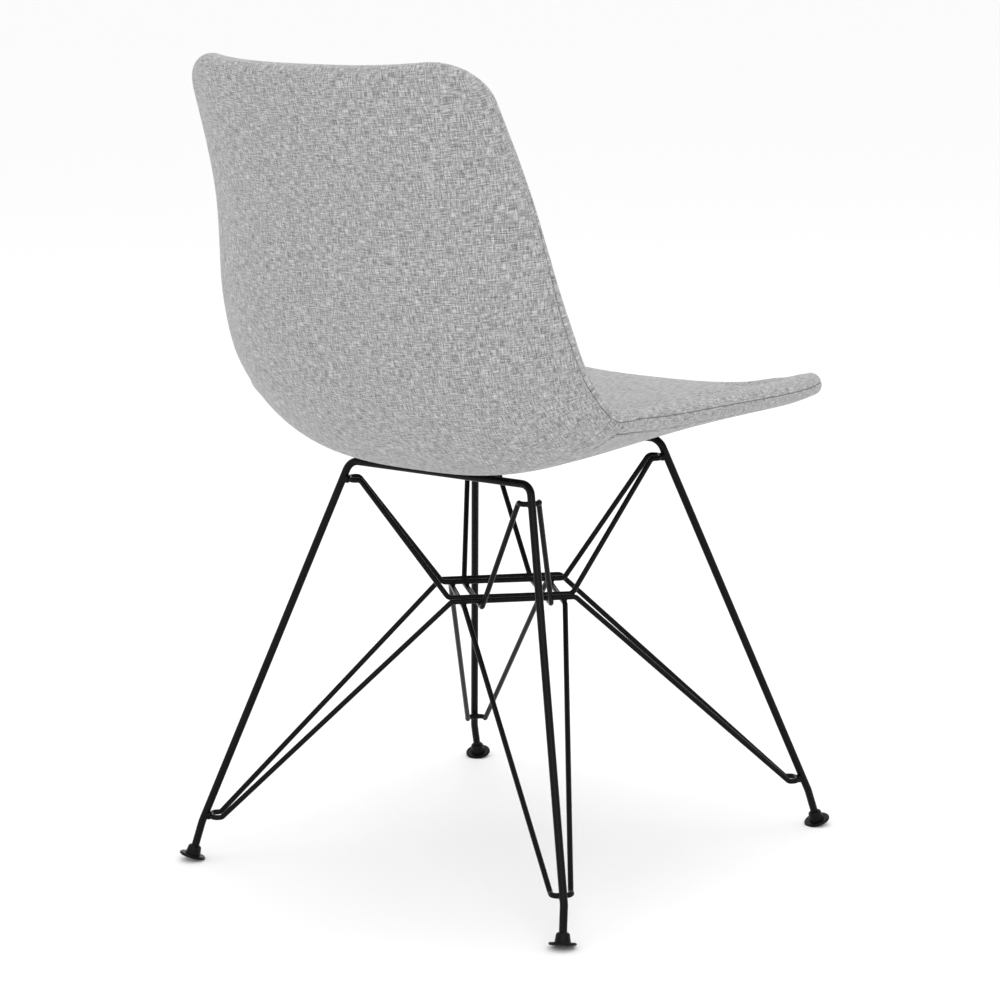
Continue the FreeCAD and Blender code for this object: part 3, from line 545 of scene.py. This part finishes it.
def scaled(tree, vector, scale):
    node = tree.nodes.new("ShaderNodeMapping")
    node.inputs["Scale"].default_value = scale
    tree.links.new(vector, node.inputs["Vector"])
    return node.outputs["Vector"]


def noise_value(tree, vector, scale, detail=2.0, roughness=0.5):
    node = tree.nodes.new("ShaderNodeTexNoise")
    node.inputs["Scale"].default_value = scale
    node.inputs["Detail"].default_value = detail
    node.inputs["Roughness"].default_value = roughness
    tree.links.new(vector, node.inputs["Vector"])
    return node.outputs["Fac"]


def ramp(tree, value, stops):
    node = tree.nodes.new("ShaderNodeValToRGB")
    elements = node.color_ramp.elements
    for _ in range(len(stops) - 2):
        elements.new(0.5)
    for element, (position, colour) in zip(elements, stops):
        element.position = position
        element.color = (*colour, 1.0)
    tree.links.new(value, node.inputs["Fac"])
    return node.outputs["Color"]


def add_bump(tree, shader, height, strength, distance):
    node = tree.nodes.new("ShaderNodeBump")
    node.inputs["Strength"].default_value = strength
    node.inputs["Distance"].default_value = distance
    tree.links.new(height, node.inputs["Height"])
    tree.links.new(node.outputs["Normal"], shader.inputs["Normal"])


def melange_cloth():
    """Light grey linen-like weave with darker and lighter slubs both ways."""
    material, tree, shader = new_material("melange_cloth")
    uv = tree.nodes.new("ShaderNodeUVMap")
    uv.uv_map = "Cloth"
    place = uv.outputs["UV"]
    warp = noise_value(tree, scaled(tree, place, (1.0, 0.12, 1.0)), 900.0, 1.0, 0.5)
    weft = noise_value(tree, scaled(tree, place, (0.12, 1.0, 1.0)), 900.0, 1.0, 0.5)
    grain = noise_value(tree, place, 900.0, 2.0, 0.6)
    cloud = noise_value(tree, place, 34.0, 3.0, 0.55)
    heavy_warp = math_node(tree, "MULTIPLY", warp, 0.9)
    heavy_weft = math_node(tree, "MULTIPLY", weft, 0.9)
    mixed = math_node(tree, "ADD", heavy_warp, heavy_weft)
    mixed = math_node(tree, "ADD", mixed, math_node(tree, "MULTIPLY", grain, 0.7))
    mixed = math_node(tree, "ADD", mixed, math_node(tree, "MULTIPLY", cloud, 0.12))
    # The four noises centre on 1.31 together; this spreads them around one half.
    spread = math_node(tree, "MULTIPLY", math_node(tree, "SUBTRACT", mixed, 1.31), 1.6)
    spread = math_node(tree, "ADD", spread, 0.5, clamp=True)
    colour = ramp(tree, spread, [
        (0.0, (0.115, 0.115, 0.118)),
        (0.5, (0.29, 0.287, 0.291)),
        (1.0, (0.54, 0.535, 0.54)),
    ])
    tree.links.new(colour, shader.inputs["Base Color"])
    thread = 2 * math.pi / 0.0021
    separate = tree.nodes.new("ShaderNodeSeparateXYZ")
    tree.links.new(place, separate.inputs["Vector"])
    across = math_node(tree, "SINE", math_node(tree, "MULTIPLY", separate.outputs["X"], thread), 0.0)
    down = math_node(tree, "SINE", math_node(tree, "MULTIPLY", separate.outputs["Y"], thread), 0.0)
    weave = math_node(tree, "MULTIPLY", across, down)
    slubs = math_node(tree, "ADD", warp, weft)
    relief = math_node(tree, "ADD", math_node(tree, "MULTIPLY", weave, 0.25), slubs)
    add_bump(tree, shader, relief, 0.35, 0.0006)
    shader.inputs["Roughness"].default_value = 0.92
    shader.inputs["Specular IOR Level"].default_value = 0.2
    shader.inputs["Sheen Weight"].default_value = 0.25
    shader.inputs["Sheen Roughness"].default_value = 0.6
    return material


def coated(name, colour, roughness, grain_scale, bump, metallic=0.0):
    """Plain finish with slight unevenness in its colour, gloss and surface."""
    material, tree, shader = new_material(name)
    texture = tree.nodes.new("ShaderNodeTexCoord")
    place = texture.outputs["Object"]
    grain = noise_value(tree, place, grain_scale, 3.0)
    cloud = noise_value(tree, place, 40.0, 2.0)
    dark = tuple(part * 0.75 for part in colour)
    light = tuple(min(part * 1.3, 1.0) for part in colour)
    tree.links.new(ramp(tree, cloud, [(0.25, dark), (0.75, light)]), shader.inputs["Base Color"])
    gloss = math_node(tree, "ADD", math_node(tree, "MULTIPLY", grain, 0.16), roughness - 0.08)
    tree.links.new(gloss, shader.inputs["Roughness"])
    add_bump(tree, shader, grain, bump, 0.0003)
    shader.inputs["Metallic"].default_value = metallic
    shader.inputs["Specular IOR Level"].default_value = 0.1
    return material


cloth_material = melange_cloth()
powder_coat = coated("black_powder_coat", (0.003, 0.003, 0.0033), 0.26, 1400.0, 0.05)
glide_plastic = coated("black_moulded_plastic", (0.004, 0.004, 0.0043), 0.35, 700.0, 0.10)
pad_rubber = coated("black_rubber", (0.02, 0.02, 0.02), 0.7, 500.0, 0.15)
zinc = coated("zinc_plate", (0.55, 0.56, 0.58), 0.32, 900.0, 0.08, metallic=1.0)
# Near-black painted shade finish for the core, foam and plywood, which show only through folds and seams;
# not the colour of those materials.
painted_shade_finish = coated("painted_shade_dark", (0.03, 0.03, 0.032), 0.9, 300.0, 0.2)


def paint(piece, material):
    piece.data.materials.clear()
    piece.data.materials.append(material)


# ---------------------------------------------------------------- upholstery pieces
def upholstery(name, sheet, keep, flip, replaced, cloth=None):
    piece = mesh_object(name, sheet, keep, flip, cloth)
    paint(piece, cloth_material)
    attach(piece, "root")
    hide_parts(*replaced)
    return piece


def on_back(place):
    return place < JOINT + 0.05


def on_seat(place):
    return place > JOINT + JOINT_GAP - 0.05


upholstery("front_upholstery", inner_panel(), None, True, ["inner_cover"], swell)
upholstery("back_upholstery", back_panel(), on_back, False, ["outer_back_cover"])
upholstery("seat_side_border", border_panel(), on_seat, False, ["left_side_border", "right_side_border"])
upholstery("seat_underside", under_panel(), on_seat, False, ["under_cover"])
# The covers' core, near black as painted shade seen through the folds.
for label, sheet in zip(("inner", "outer"), shade_core()):
    core = mesh_object(f"{label}_lining", sheet, None, label == "inner", None, 0.8)
    paint(core, painted_shade_finish)
    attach(core, "root")
    hidden = ["inner_foam"] if label == "inner" else ["outer_liner_foam", "plywood_shell"]
    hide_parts(*hidden)

FINISHES = {
    "rod_coating": powder_coat,
    "rubber": pad_rubber,
    "zinc_steel": zinc,
    "glide_plastic": glide_plastic,
    # Plywood and foam take the near-black painted shade finish instead of their own colours.
    "plywood": painted_shade_finish,
    "foam": painted_shade_finish,
    "fabric": cloth_material,
}
for part in frame["record"]["subparts"]:
    paint(frame["nodes"][part["node"]], FINISHES[part["material_slot"]])


# ---------------------------------------------------------------- floor, light and camera
FLOOR_REACH = 60.0
# Where the camera looks from: degrees, metres from the base centre, and its lens.
CAMERA_AZIMUTH, CAMERA_ELEVATION, CAMERA_ROLL = 217.3, 11.7, -0.7
CAMERA_X, CAMERA_Y, CAMERA_Z = -1.982, 2.609, 1.05
CAMERA_LENS = 116.5
CAMERA_SENSOR = 36.0
# Name, place, target, size and power of each soft light.
LIGHTS = [
    ("key", (-2.6, 2.2, 2.8), (0, 0, 0.5), 2.4, 30),
    ("fill", (-0.5, 3.2, 1.6), (0, 0, 0.5), 2.6, 12),
    ("top", (0.2, -0.6, 3.0), (0, 0, 0.45), 2.0, 18),
]


def pale_floor():
    mesh = bpy.data.meshes.new("floor")
    reach = FLOOR_REACH
    corners = [(-reach, -reach, 0), (reach, -reach, 0), (reach, reach, 0), (-reach, reach, 0)]
    mesh.from_pydata(corners, [], [(0, 1, 2, 3)])
    floor = bpy.data.objects.new("floor", mesh)
    bpy.context.scene.collection.objects.link(floor)
    material, _, shader = new_material("pale_floor")
    shader.inputs["Base Color"].default_value = (0.97, 0.97, 0.97, 1.0)
    shader.inputs["Roughness"].default_value = 0.9
    paint(floor, material)


def area_light(name, place, target, size, power):
    light = bpy.data.lights.new(name, "AREA")
    light.shape = "SQUARE"
    light.size = size
    light.energy = power
    lamp = bpy.data.objects.new(name, light)
    lamp.location = place
    aim = Vector(target) - Vector(place)
    lamp.rotation_euler = aim.to_track_quat("-Z", "Y").to_euler()
    bpy.context.scene.collection.objects.link(lamp)


def studio():
    world = bpy.data.worlds.new("studio")
    world.use_nodes = True
    background = world.node_tree.nodes["Background"]
    background.inputs["Color"].default_value = (1.0, 1.0, 1.0, 1.0)
    background.inputs["Strength"].default_value = 1.0
    bpy.context.scene.world = world
    for light in LIGHTS:
        area_light(*light)
    bpy.context.scene.view_settings.view_transform = "Standard"


def photo_camera():
    azimuth = math.radians(CAMERA_AZIMUTH)
    elevation = math.radians(CAMERA_ELEVATION)
    roll = math.radians(CAMERA_ROLL)
    back = Vector((
        math.sin(azimuth) * math.cos(elevation),
        -math.cos(azimuth) * math.cos(elevation),
        math.sin(elevation),
    ))
    right = Vector((0, 0, 1)).cross(back).normalized()
    up = back.cross(right)
    turned_right = right * math.cos(roll) + up * math.sin(roll)
    turned_up = up * math.cos(roll) - right * math.sin(roll)
    camera = bpy.data.objects.new("camera", bpy.data.cameras.new("camera"))
    place = (CAMERA_X, CAMERA_Y + SHIFT_Y * MM, CAMERA_Z)
    camera.matrix_world = Matrix.Translation(place) @ Matrix((
        (turned_right.x, turned_up.x, back.x, 0),
        (turned_right.y, turned_up.y, back.y, 0),
        (turned_right.z, turned_up.z, back.z, 0),
        (0, 0, 0, 1),
    ))
    camera.data.sensor_width = CAMERA_SENSOR
    camera.data.lens = CAMERA_LENS
    bpy.context.scene.collection.objects.link(camera)
    bpy.context.scene.camera = camera


pale_floor()
studio()
photo_camera()
